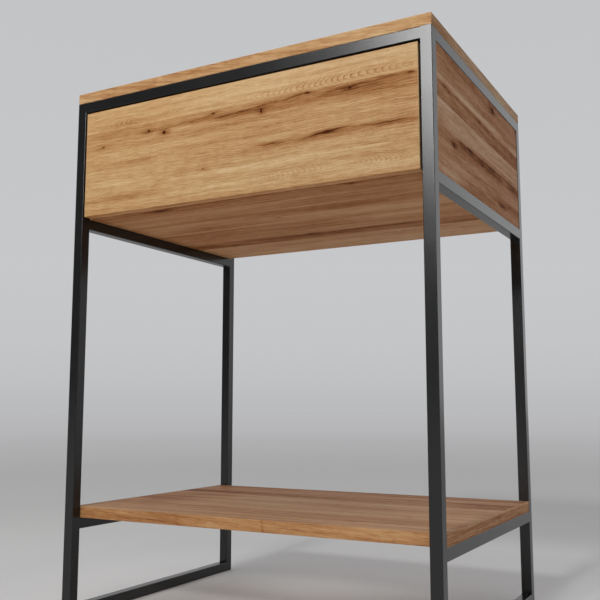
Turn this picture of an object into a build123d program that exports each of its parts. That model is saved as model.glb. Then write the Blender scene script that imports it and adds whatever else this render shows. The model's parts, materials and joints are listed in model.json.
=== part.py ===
# Side table with one drawer: square-tube steel frame, oak-look boards, a drawer on
# full-extension ball slides and a push-to-open latch behind it.
# Millimetres. X to the right, Y to the back, Z up; origin on the floor under the centre.

import os

from build123d import *

# --- overall sizes ---
WIDTH = 550.0
DEPTH = 400.0
HEIGHT = 747.0
BOARD = 15.0            # top, shelf, drawer front and box bottom
EASE = 0.6              # eased edges of the boards

# --- steel frame ---
TUBE = 15.0
TUBE_WALL = 1.5
TUBE_RADIUS = 0.8       # outer corner of the tube
FRAME_TOP = HEIGHT - BOARD
BOX_RAIL_Z = 544.5      # underside of the rails that carry the drawer box
SHELF_RAIL_Z = 118.5    # underside of the rails that carry the shelf
X_OUT, Y_OUT = WIDTH / 2, DEPTH / 2
X_IN, Y_IN = X_OUT - TUBE, Y_OUT - TUBE
X_MID, Y_MID = X_OUT - TUBE / 2, Y_OUT - TUBE / 2

# --- box around the drawer ---
FIT = 0.3               # assembly gap between a board and its neighbour
BOX_Z = BOX_RAIL_Z + TUBE           # underside of the box, top of its rails
BOX_FLOOR = BOX_Z + BOARD
BOX_CEILING = FRAME_TOP - TUBE      # underside of the top rails
SIDE_THICK = 14.5
BACK_THICK = 12.0
BACK_Y = Y_IN - BACK_THICK
ANGLE_LEG, ANGLE_WALL, ANGLE_LENGTH = 12.0, 1.5, 300.0

# --- tabs and screws ---
TAB, TAB_WIDTH, TAB_THICK = 20.0, 24.0, 3.0
PLATE_WIDTH, PLATE_HEIGHT, PLATE_THICK = 30.0, 41.0, 2.0
SCREW_PLAY = 0.05
HEAD_HEIGHT = 2.2

# --- drawer ---
GAP_SIDE, GAP_TOP, GAP_BEHIND = 2.6, 2.5, 2.5
FRONT_Z0, FRONT_Z1 = BOX_Z + 0.5, BOX_CEILING - GAP_TOP
PLY = 12.0
DRAWER_Z0, DRAWER_Z1 = 590.0, 700.0
DRAWER_BACK_Y = 120.0
GROOVE_Z, GROOVE, GROOVE_DEPTH = 600.0, 3.2, 6.0
HARDBOARD = 3.0

# --- ball slides; u runs from the cabinet side towards the drawer, v is up from the axis ---
SLIDE_THICK = 12.7
SLIDE_LENGTH = 300.0
SLIDE_Z = 645.0
SLIDE_FRONT_Y = -182.0
SLIDE_MID_Y = SLIDE_FRONT_Y + SLIDE_LENGTH / 2
SHEET = 1.2
CAGE_SHEET = 0.6
CAGE_LENGTH = 120.0
BALL_RADIUS = 1.3
BALLS_PER_ROW = 7
BALL_PITCH = 16.0
DRAWER_X = X_IN - SLIDE_THICK       # outer face of the drawer's sides

# --- push latch on the back panel ---
LATCH_Z = 655.0
LATCH_RADIUS = 7.0
LATCH_FRONT_Y = 128.0
PLUNGER_RADIUS = 3.0
RUNNING_FIT = 0.05

SIDES = {"left": -1, "right": 1}
os.makedirs("parts", exist_ok=True)


def save(sub_part, label):
    """Name a finished sub-part and write its file."""
    sub_part.part.label = label
    export_step(sub_part.part, f"parts/{label}.step")


def tube_ring(plane):
    """Section of the square tube, centred on the plane's origin."""
    with BuildSketch(plane) as ring:
        RectangleRounded(TUBE, TUBE, TUBE_RADIUS)
        RectangleRounded(TUBE - 2 * TUBE_WALL, TUBE - 2 * TUBE_WALL, 0.4, mode=Mode.SUBTRACT)
    return ring.sketch


def block(x0, x1, y0, y1, z0, z1, mode=Mode.ADD):
    """Rectangular block between two corners, inside the current sub-part."""
    with BuildSketch(Plane.XY.offset(z0), mode=Mode.PRIVATE) as foot:
        with Locations(((x0 + x1) / 2, (y0 + y1) / 2)):
            Rectangle(abs(x1 - x0), abs(y1 - y0))
    extrude(foot.sketch, amount=z1 - z0, mode=mode)


def rod(start, direction, radius, length, mode=Mode.ADD, tip_radius=None):
    """Straight or tapered round bar from a start point, inside the current sub-part."""
    base = Plane(origin=start, z_dir=direction)
    with BuildSketch(base, mode=Mode.PRIVATE) as foot:
        Circle(radius)
    if tip_radius is None:
        extrude(foot.sketch, amount=length, mode=mode)
        return
    with BuildSketch(base.offset(length), mode=Mode.PRIVATE) as tip:
        Circle(tip_radius)
    loft([foot.sketch.face(), tip.sketch.face()], mode=mode)


def pan_screw(seat, direction, radius, length, head_radius):
    """Pan-head screw: the head stands on the seat point, the shank runs along direction."""
    back = tuple(s - HEAD_HEIGHT * d for s, d in zip(seat, direction))
    rod(back, direction, head_radius * 0.72, HEAD_HEIGHT * 0.45, tip_radius=head_radius)
    middle = tuple(s - HEAD_HEIGHT * 0.55 * d for s, d in zip(seat, direction))
    rod(middle, direction, head_radius, HEAD_HEIGHT * 0.55)
    rod(seat, direction, radius, length)
    recess = Plane(origin=back, z_dir=direction)
    with BuildSketch(recess, mode=Mode.PRIVATE) as cross:
        Rectangle(head_radius * 1.0, 0.7)
        Rectangle(0.7, head_radius * 1.0)
    extrude(cross.sketch, amount=1.0, mode=Mode.SUBTRACT)


def flat_screw(seat, direction, radius, length, head_radius, head_depth):
    """Countersunk screw whose flat head is flush with the seat point."""
    rod(seat, direction, head_radius, head_depth, tip_radius=radius)
    inner = tuple(s + head_depth * d for s, d in zip(seat, direction))
    rod(inner, direction, radius, length - head_depth)
    recess = Plane(origin=seat, z_dir=direction)
    with BuildSketch(recess, mode=Mode.PRIVATE) as cross:
        Rectangle(head_radius * 0.9, 0.6)
        Rectangle(0.6, head_radius * 0.9)
    extrude(cross.sketch, amount=0.6, mode=Mode.SUBTRACT)


def screw_hole(seat, direction, radius, length, head_radius=None, head_depth=None):
    """Clearance hole that a screw of the same description sits in."""
    rod(seat, direction, radius + SCREW_PLAY, length + 0.5, mode=Mode.SUBTRACT)
    if head_radius:
        wide, narrow = head_radius + SCREW_PLAY, radius + SCREW_PLAY
        rod(seat, direction, wide, head_depth, mode=Mode.SUBTRACT, tip_radius=narrow)


# ---------------------------------------------------------------- screw positions
TAB_UNDER = FRAME_TOP - TAB_THICK
TOP_TABS_SIDE = [(s, y) for s in (-1, 1) for y in (-120.0, 120.0)]
TOP_TABS_FRONT = [-120.0, 120.0]
TOP_SCREWS = [(s * (X_IN - 12), y) for s, y in TOP_TABS_SIDE] + [(x, -Y_IN + 12) for x in TOP_TABS_FRONT]
SHELF_TABS = [(s, y) for s in (-1, 1) for y in (-110.0, 110.0)]
SHELF_TOP_OF_RAIL = SHELF_RAIL_Z + TUBE
PLATES = [(s, y) for s in (-1, 1) for y in (-60.0, 60.0)]
PLATE_SCREWS = [(s, y + dy) for s, y in PLATES for dy in (-8.0, 8.0)]
PLATE_SCREW_Z = 700.0
ANGLE_SIDE_SCREWS = [(s, y) for s in (-1, 1) for y in (-110.0, 110.0)]
ANGLE_FLOOR_SCREWS = [(s, y) for s in (-1, 1) for y in (-70.0, 70.0)]
BACK_SCREWS = [-180.0, 0.0, 180.0]
BACK_SCREW_Z = FRAME_TOP - TUBE / 2
OUTER_SLIDE_SCREWS = [SLIDE_FRONT_Y + 18, SLIDE_FRONT_Y + 262]
INNER_SLIDE_SCREWS = [SLIDE_FRONT_Y + 30, SLIDE_FRONT_Y + 240]
FRONT_SCREWS = [(x, z) for x in (-150.0, 150.0) for z in (618.0, 682.0)]
CORNER_SCREWS = [(s, y, z) for s in (-1, 1) for y in (-Y_IN + PLY / 2, DRAWER_BACK_Y - PLY / 2)
                 for z in (615.0, 685.0)]
LATCH_SCREWS = [-14.0, 14.0]

# ---------------------------------------------------------------- frame
# Each side of the frame is a closed loop of two legs, a floor rail and a top rail with
# mitred corners; the box and shelf rails butt between the legs.
FRONT_LOW = Plane(origin=(0, -Y_OUT, 0), z_dir=(0, 1, -1))
BACK_LOW = Plane(origin=(0, Y_OUT, 0), z_dir=(0, -1, -1))
FRONT_HIGH = Plane(origin=(0, -Y_OUT, FRAME_TOP), z_dir=(0, 1, 1))
BACK_HIGH = Plane(origin=(0, Y_OUT, FRAME_TOP), z_dir=(0, -1, 1))

for side_name, side in SIDES.items():
    for end_name, end, low, high in (("front", -1, FRONT_LOW, FRONT_HIGH),
                                     ("back", 1, BACK_LOW, BACK_HIGH)):
        with BuildPart() as leg:
            extrude(tube_ring(Plane.XY.move(Location((side * X_MID, end * Y_MID, 0)))),
                    amount=FRAME_TOP)
            split(bisect_by=low, keep=Keep.BOTTOM)
            split(bisect_by=high, keep=Keep.BOTTOM)
        save(leg, f"leg_{end_name}_{side_name}")

    for rail_name, z_mid, front_mitre, back_mitre in (
            ("floor_rail", TUBE / 2, FRONT_LOW, BACK_LOW),
            ("top_rail", FRAME_TOP - TUBE / 2, FRONT_HIGH, BACK_HIGH)):
        with BuildPart() as mitred_rail:
            extrude(tube_ring(Plane(origin=(side * X_MID, -Y_OUT, z_mid), x_dir=(1, 0, 0),
                                    z_dir=(0, 1, 0))), amount=DEPTH)
            split(bisect_by=front_mitre, keep=Keep.TOP)
            split(bisect_by=back_mitre, keep=Keep.TOP)
        save(mitred_rail, f"{rail_name}_{side_name}")

    for rail_name, z_low in (("shelf_rail", SHELF_RAIL_Z), ("box_rail", BOX_RAIL_Z)):
        with BuildPart() as butted_rail:
            extrude(tube_ring(Plane(origin=(side * X_MID, -Y_IN, z_low + TUBE / 2),
                                    x_dir=(1, 0, 0), z_dir=(0, 1, 0))), amount=2 * Y_IN)
        save(butted_rail, f"{rail_name}_{side_name}")

for end_name, end in (("front", -1), ("back", 1)):
    with BuildPart() as cross_rail:
        extrude(tube_ring(Plane(origin=(-X_IN, end * Y_MID, FRAME_TOP - TUBE / 2),
                                x_dir=(0, 1, 0), z_dir=(1, 0, 0))), amount=2 * X_IN)
        if end > 0:
            for x in BACK_SCREWS:
                rod((x, Y_IN - 1, BACK_SCREW_Z), (0, 1, 0), 1.75 + SCREW_PLAY, 5, Mode.SUBTRACT)
    save(cross_rail, f"top_rail_{end_name}")


def tab(root, outward, top_z):
    """Flat tab welded to a rail at root, pointing outward, with rounded corners and a hole."""
    base = Plane(origin=(root[0], root[1], top_z - TAB_THICK),
                 x_dir=(outward[0], outward[1], 0), z_dir=(0, 0, 1))
    with BuildSketch(base, mode=Mode.PRIVATE) as outline:
        with Locations((TAB / 2, 0)):
            Rectangle(TAB, TAB_WIDTH)
        far_corners = outline.vertices().group_by(
            lambda v: round((v.X - root[0]) * outward[0] + (v.Y - root[1]) * outward[1], 3))[-1]
        fillet(far_corners, 5)
        with Locations((12, 0)):
            Circle(2.3, mode=Mode.SUBTRACT)
    extrude(outline.sketch, amount=TAB_THICK)


with BuildPart() as top_tabs:
    for s, y in TOP_TABS_SIDE:
        tab((s * X_IN, y), (-s, 0), FRAME_TOP)
    for x in TOP_TABS_FRONT:
        tab((x, -Y_IN), (0, 1), FRAME_TOP)
save(top_tabs, "top_tabs")

with BuildPart() as shelf_tabs:
    for s, y in SHELF_TABS:
        tab((s * X_IN, y), (-s, 0), SHELF_TOP_OF_RAIL)
save(shelf_tabs, "shelf_tabs")

with BuildPart() as panel_plates:
    for s, y in PLATES:
        with BuildSketch(Plane(origin=(s * X_IN, y, FRAME_TOP - 0.5 - PLATE_HEIGHT / 2),
                               x_dir=(0, 1, 0), z_dir=(-s, 0, 0)), mode=Mode.PRIVATE) as plate:
            RectangleRounded(PLATE_WIDTH, PLATE_HEIGHT, 3)
        extrude(plate.sketch, amount=PLATE_THICK)
    for s, y in PLATE_SCREWS:
        rod((s * (X_IN - PLATE_THICK - 1), y, PLATE_SCREW_Z), (s, 0, 0), 2.0, 4, Mode.SUBTRACT)
save(panel_plates, "panel_plates")

# ---------------------------------------------------------------- boards
with BuildPart() as top_panel:
    block(-X_OUT, X_OUT, -Y_OUT, Y_OUT, FRAME_TOP, HEIGHT)
    chamfer(top_panel.edges(), EASE)
    for x, y in TOP_SCREWS:
        screw_hole((x, y, FRAME_TOP), (0, 0, 1), 2.0, 10)
save(top_panel, "top_panel")

with BuildPart() as shelf_board:
    block(-X_OUT, X_OUT, -Y_IN + FIT, Y_IN - FIT, SHELF_TOP_OF_RAIL, SHELF_TOP_OF_RAIL + BOARD)
    chamfer(shelf_board.edges(), EASE)
    for s, y in SHELF_TABS:
        screw_hole((s * (X_IN - 12), y, SHELF_TOP_OF_RAIL), (0, 0, 1), 2.0, 10)
save(shelf_board, "shelf_board")

for side_name, side in SIDES.items():
    with BuildPart() as side_panel:
        block(side * X_IN, side * (X_IN + SIDE_THICK), -Y_IN + FIT, Y_IN - FIT,
              BOX_Z, BOX_CEILING - FIT)
        chamfer(side_panel.edges(), EASE / 2)
        for s, y in PLATE_SCREWS:
            if s == side:
                screw_hole((s * X_IN, y, PLATE_SCREW_Z), (s, 0, 0), 1.75, 10)
        for s, y in ANGLE_SIDE_SCREWS:
            if s == side:
                screw_hole((s * X_IN, y, BOX_FLOOR + 6.5), (s, 0, 0), 1.5, 9)
        for y in OUTER_SLIDE_SCREWS:
            screw_hole((side * X_IN, y, SLIDE_Z), (side, 0, 0), 1.9, 10)
    save(side_panel, f"side_panel_{side_name}")

with BuildPart() as box_bottom:
    block(-X_IN + FIT, X_IN - FIT, -Y_IN + GAP_BEHIND, Y_IN, BOX_Z, BOX_FLOOR)
    chamfer(box_bottom.edges(), EASE / 2)
    for s, y in ANGLE_FLOOR_SCREWS:
        screw_hole((s * (X_IN - 7.5), y, BOX_FLOOR), (0, 0, -1), 1.5, 10.5)
save(box_bottom, "box_bottom")

with BuildPart() as box_back:
    block(-X_IN + FIT, X_IN - FIT, BACK_Y, Y_IN, BOX_FLOOR, FRAME_TOP - 1)
    chamfer(box_back.edges(), EASE / 2)
    for x in BACK_SCREWS:
        screw_hole((x, BACK_Y, BACK_SCREW_Z), (0, 1, 0), 1.75, BACK_THICK)
    for x in LATCH_SCREWS:
        screw_hole((x, BACK_Y, LATCH_Z), (0, 1, 0), 1.5, 9)
save(box_back, "box_back")

for side_name, side in SIDES.items():
    with BuildPart() as angle:
        block(side * X_IN, side * (X_IN - ANGLE_LEG), -ANGLE_LENGTH / 2, ANGLE_LENGTH / 2,
              BOX_FLOOR, BOX_FLOOR + ANGLE_WALL)
        block(side * X_IN, side * (X_IN - ANGLE_WALL), -ANGLE_LENGTH / 2, ANGLE_LENGTH / 2,
              BOX_FLOOR, BOX_FLOOR + ANGLE_LEG)
        for s, y in ANGLE_SIDE_SCREWS:
            rod((side * (X_IN - 2), y, BOX_FLOOR + 6.5), (side, 0, 0), 1.7, 3, Mode.SUBTRACT)
        for s, y in ANGLE_FLOOR_SCREWS:
            rod((side * (X_IN - 7.5), y, BOX_FLOOR + 2), (0, 0, -1), 1.7, 3, Mode.SUBTRACT)
    save(angle, f"box_angle_{side_name}")

# ---------------------------------------------------------------- frame and box screws
with BuildPart() as top_screws:
    for x, y in TOP_SCREWS:
        pan_screw((x, y, TAB_UNDER), (0, 0, 1), 2.0, TAB_THICK + 10, 4.0)
save(top_screws, "top_screws")

with BuildPart() as shelf_screws:
    for s, y in SHELF_TABS:
        pan_screw((s * (X_IN - 12), y, SHELF_TOP_OF_RAIL - TAB_THICK), (0, 0, 1), 2.0,
                  TAB_THICK + 10, 4.0)
save(shelf_screws, "shelf_screws")

with BuildPart() as panel_screws:
    for s, y in PLATE_SCREWS:
        pan_screw((s * (X_IN - PLATE_THICK), y, PLATE_SCREW_Z), (s, 0, 0), 1.75,
                  PLATE_THICK + 10, 3.8)
save(panel_screws, "panel_screws")

with BuildPart() as angle_screws:
    for s, y in ANGLE_SIDE_SCREWS:
        pan_screw((s * (X_IN - ANGLE_WALL), y, BOX_FLOOR + 6.5), (s, 0, 0), 1.5,
                  ANGLE_WALL + 9, 3.0)
    for s, y in ANGLE_FLOOR_SCREWS:
        pan_screw((s * (X_IN - 7.5), y, BOX_FLOOR + ANGLE_WALL), (0, 0, -1), 1.5,
                  ANGLE_WALL + 10.5, 3.0)
save(angle_screws, "angle_screws")

with BuildPart() as back_screws:
    for x in BACK_SCREWS:
        pan_screw((x, BACK_Y, BACK_SCREW_Z), (0, 1, 0), 1.75, BACK_THICK + 3, 3.8)
save(back_screws, "back_screws")


# ---------------------------------------------------------------- ball slides
def slide_plane(length):
    """Section plane at the back end of a member of this length, facing the front."""
    return Plane(origin=(0, SLIDE_MID_Y + length / 2, SLIDE_Z), x_dir=(1, 0, 0), z_dir=(0, -1, 0))


def channel(side, u_web, u_tip, half_height, sheet, length):
    """C-section member: a web at u_web and two flanges out to u_tip."""
    lean = 1 if u_tip > u_web else -1
    with BuildSketch(slide_plane(length), mode=Mode.PRIVATE) as section:
        with Locations((side * (X_IN - u_web - lean * sheet / 2), 0)):
            Rectangle(sheet, 2 * half_height)
        for v in (-1, 1):
            with Locations((side * (X_IN - (u_web + u_tip) / 2), v * (half_height - sheet / 2))):
                Rectangle(abs(u_tip - u_web), sheet)
        web_x = side * (X_IN - u_web)
        bends = section.vertices().filter_by(lambda p: abs(p.X - web_x) < 0.01)
        fillet(bends, sheet * 0.75)
    extrude(section.sketch, amount=length)


def ball_points(side, u, v):
    """Centres of the two rows of balls of one cage."""
    first = SLIDE_MID_Y - BALL_PITCH * (BALLS_PER_ROW - 1) / 2
    return [(side * (X_IN - u), first + i * BALL_PITCH, SLIDE_Z + row * v)
            for row in (-1, 1) for i in range(BALLS_PER_ROW)]


OUTER_HALF, MIDDLE_HALF, INNER_HALF = 22.5, 18.1, 13.7
OUTER_ROW = (6.0, (OUTER_HALF - SHEET + MIDDLE_HALF) / 2)
INNER_ROW = (8.0, (MIDDLE_HALF - SHEET + INNER_HALF) / 2)

for side_name, side in SIDES.items():
    with BuildPart() as cabinet_member:
        channel(side, 0, 9.0, OUTER_HALF, SHEET, SLIDE_LENGTH)
        for y in OUTER_SLIDE_SCREWS:
            screw_hole((side * (X_IN - SHEET), y, SLIDE_Z), (side, 0, 0), 1.9, SHEET, 3.0, SHEET)
    save(cabinet_member, f"slide_cabinet_member_{side_name}")

    with BuildPart() as middle_member:
        channel(side, 3.0, 9.5, MIDDLE_HALF, SHEET, SLIDE_LENGTH)
    save(middle_member, f"slide_middle_member_{side_name}")

    with BuildPart() as drawer_member:
        channel(side, SLIDE_THICK, 6.5, INNER_HALF, SHEET, SLIDE_LENGTH)
        for y in INNER_SLIDE_SCREWS:
            screw_hole((side * (DRAWER_X + SHEET), y, SLIDE_Z), (-side, 0, 0), 1.9, SHEET, 3.0, SHEET)
    save(drawer_member, f"slide_drawer_member_{side_name}")

    for cage_name, web_u, tip_u, (row_u, row_v) in (("outer", 1.8, 8.0, OUTER_ROW),
                                                    ("inner", 4.8, 9.8, INNER_ROW)):
        points = ball_points(side, row_u, row_v)
        with BuildPart() as cage:
            channel(side, web_u, tip_u, row_v + CAGE_SHEET / 2, CAGE_SHEET, CAGE_LENGTH)
            with Locations(*points):
                Cylinder(BALL_RADIUS + 0.1, 2, mode=Mode.SUBTRACT)
        save(cage, f"ball_cage_{cage_name}_{side_name}")

        with BuildPart() as balls:
            with Locations(*points):
                Sphere(BALL_RADIUS)
        save(balls, f"balls_{cage_name}_{side_name}")

with BuildPart() as slide_cabinet_screws:
    for side in SIDES.values():
        for y in OUTER_SLIDE_SCREWS:
            flat_screw((side * (X_IN - SHEET), y, SLIDE_Z), (side, 0, 0), 1.9, SHEET + 10, 3.0, SHEET)
save(slide_cabinet_screws, "slide_cabinet_screws")

with BuildPart() as slide_drawer_screws:
    for side in SIDES.values():
        for y in INNER_SLIDE_SCREWS:
            flat_screw((side * (DRAWER_X + SHEET), y, SLIDE_Z), (-side, 0, 0), 1.9, SHEET + 10,
                       3.0, SHEET)
save(slide_drawer_screws, "slide_drawer_screws")

# ---------------------------------------------------------------- drawer
with BuildPart() as drawer_front:
    block(-X_IN + GAP_SIDE, X_IN - GAP_SIDE, -Y_OUT, -Y_IN, FRONT_Z0, FRONT_Z1)
    chamfer(drawer_front.edges(), EASE)
    for x, z in FRONT_SCREWS:
        screw_hole((x, -Y_IN, z), (0, -1, 0), 2.0, 11)
save(drawer_front, "drawer_front")

for side_name, side in SIDES.items():
    with BuildPart() as drawer_side:
        block(side * (DRAWER_X - PLY), side * DRAWER_X, -Y_IN, DRAWER_BACK_Y, DRAWER_Z0, DRAWER_Z1)
        fillet(drawer_side.edges().filter_by(Axis.Y).group_by(Axis.Z)[-1], 1.5)
        block(side * (DRAWER_X - PLY), side * (DRAWER_X - PLY + GROOVE_DEPTH), -Y_IN,
              DRAWER_BACK_Y, GROOVE_Z, GROOVE_Z + GROOVE, Mode.SUBTRACT)
        for s, y, z in CORNER_SCREWS:
            if s == side:
                screw_hole((s * DRAWER_X, y, z), (-s, 0, 0), 1.75, PLY, 3.5, 2.5)
        for y in INNER_SLIDE_SCREWS:
            screw_hole((side * DRAWER_X, y, SLIDE_Z), (-side, 0, 0), 1.9, 10)
    save(drawer_side, f"drawer_side_{side_name}")

INNER_X = DRAWER_X - PLY
with BuildPart() as drawer_box_front:
    block(-INNER_X, INNER_X, -Y_IN, -Y_IN + PLY, DRAWER_Z0, DRAWER_Z1)
    block(-INNER_X, INNER_X, -Y_IN + PLY - GROOVE_DEPTH, -Y_IN + PLY, GROOVE_Z,
          GROOVE_Z + GROOVE, Mode.SUBTRACT)
    for x, z in FRONT_SCREWS:
        rod((x, -Y_IN + PLY + 1, z), (0, -1, 0), 2.0 + SCREW_PLAY, PLY + 2, Mode.SUBTRACT)
    for s, y, z in CORNER_SCREWS:
        if y < 0:
            screw_hole((s * INNER_X, y, z), (-s, 0, 0), 1.75, 20)
save(drawer_box_front, "drawer_box_front")

with BuildPart() as drawer_back:
    block(-INNER_X, INNER_X, DRAWER_BACK_Y - PLY, DRAWER_BACK_Y, GROOVE_Z + GROOVE, DRAWER_Z1)
    for s, y, z in CORNER_SCREWS:
        if y > 0:
            screw_hole((s * INNER_X, y, z), (-s, 0, 0), 1.75, 20)
save(drawer_back, "drawer_back")

with BuildPart() as drawer_bottom:
    block(-INNER_X - GROOVE_DEPTH + 0.5, INNER_X + GROOVE_DEPTH - 0.5,
          -Y_IN + PLY - GROOVE_DEPTH + 0.5, DRAWER_BACK_Y - 1,
          GROOVE_Z + 0.1, GROOVE_Z + 0.1 + HARDBOARD)
save(drawer_bottom, "drawer_bottom")

with BuildPart() as drawer_front_screws:
    for x, z in FRONT_SCREWS:
        pan_screw((x, -Y_IN + PLY, z), (0, -1, 0), 2.0, PLY + 11, 4.0)
save(drawer_front_screws, "drawer_front_screws")

with BuildPart() as drawer_corner_screws:
    for s, y, z in CORNER_SCREWS:
        flat_screw((s * DRAWER_X, y, z), (-s, 0, 0), 1.75, PLY + 20, 3.5, 2.5)
save(drawer_corner_screws, "drawer_corner_screws")

# ---------------------------------------------------------------- push latch
with BuildPart() as latch_housing:
    with BuildSketch(Plane(origin=(0, BACK_Y, LATCH_Z), x_dir=(1, 0, 0), z_dir=(0, -1, 0))):
        SlotOverall(42, 18)
    extrude(amount=3)
    rod((0, BACK_Y, LATCH_Z), (0, -1, 0), LATCH_RADIUS, BACK_Y - LATCH_FRONT_Y)
    chamfer(latch_housing.edges().filter_by(GeomType.CIRCLE).group_by(Axis.Y)[0], 0.8)
    rod((0, LATCH_FRONT_Y - 1, LATCH_Z), (0, 1, 0), PLUNGER_RADIUS + RUNNING_FIT, 30, Mode.SUBTRACT)
    for x in LATCH_SCREWS:
        rod((x, BACK_Y - 4, LATCH_Z), (0, 1, 0), 1.7, 6, Mode.SUBTRACT)
save(latch_housing, "latch_housing")

with BuildPart() as latch_plunger:
    rod((0, DRAWER_BACK_Y + 0.5, LATCH_Z), (0, 1, 0), 4.5, 4)
    chamfer(latch_plunger.edges().filter_by(GeomType.CIRCLE), 0.5)
    rod((0, DRAWER_BACK_Y + 4, LATCH_Z), (0, 1, 0), PLUNGER_RADIUS, 28)
save(latch_plunger, "latch_plunger")

with BuildPart() as latch_screws:
    for x in LATCH_SCREWS:
        pan_screw((x, BACK_Y - 3, LATCH_Z), (0, 1, 0), 1.5, 12, 3.0)
save(latch_screws, "latch_screws")
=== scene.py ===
# Side table with one drawer: materials, light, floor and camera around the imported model.
# Lengths in the material code are millimetres of the rest pose, everywhere else metres.
# Colours are linear.
import json
import math
import random

import bmesh
import bpy
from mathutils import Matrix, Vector


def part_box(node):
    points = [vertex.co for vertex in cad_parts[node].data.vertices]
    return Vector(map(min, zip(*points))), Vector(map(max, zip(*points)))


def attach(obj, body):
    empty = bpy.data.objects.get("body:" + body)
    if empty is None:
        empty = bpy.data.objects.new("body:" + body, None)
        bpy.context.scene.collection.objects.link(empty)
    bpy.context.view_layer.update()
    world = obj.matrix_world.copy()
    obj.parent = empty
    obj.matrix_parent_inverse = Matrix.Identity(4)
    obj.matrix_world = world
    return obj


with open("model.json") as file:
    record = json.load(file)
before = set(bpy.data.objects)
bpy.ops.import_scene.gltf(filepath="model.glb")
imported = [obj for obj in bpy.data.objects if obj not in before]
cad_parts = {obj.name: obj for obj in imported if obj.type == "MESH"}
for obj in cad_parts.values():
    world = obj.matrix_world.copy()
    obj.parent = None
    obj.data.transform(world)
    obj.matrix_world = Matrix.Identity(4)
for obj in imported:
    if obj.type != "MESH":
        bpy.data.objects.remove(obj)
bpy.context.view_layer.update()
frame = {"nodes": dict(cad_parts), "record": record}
NODES = frame["nodes"]
SLOT_OF = {s["node"]: s["material_slot"] for s in frame["record"]["subparts"]}
scene = bpy.context.scene
scene.view_settings.view_transform = "Standard"


# ------------------------------------------------------------------ node writing helpers
class Value:
    """A socket that can be used in arithmetic."""

    def __init__(self, graph, socket):
        self.graph, self.socket = graph, socket

    def __add__(self, other):
        return self.graph.math("ADD", self, other)

    def __radd__(self, other):
        return self.graph.math("ADD", other, self)

    def __sub__(self, other):
        return self.graph.math("SUBTRACT", self, other)

    def __rsub__(self, other):
        return self.graph.math("SUBTRACT", other, self)

    def __mul__(self, other):
        return self.graph.math("MULTIPLY", self, other)

    def __truediv__(self, other):
        return self.graph.math("DIVIDE", self, other)

    def __pow__(self, other):
        return self.graph.math("POWER", self, other)

    def abs(self):
        return self.graph.math("ABSOLUTE", self)

    def fract(self):
        return self.graph.math("FRACT", self)

    def sqrt(self):
        return self.graph.math("SQRT", self)


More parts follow.
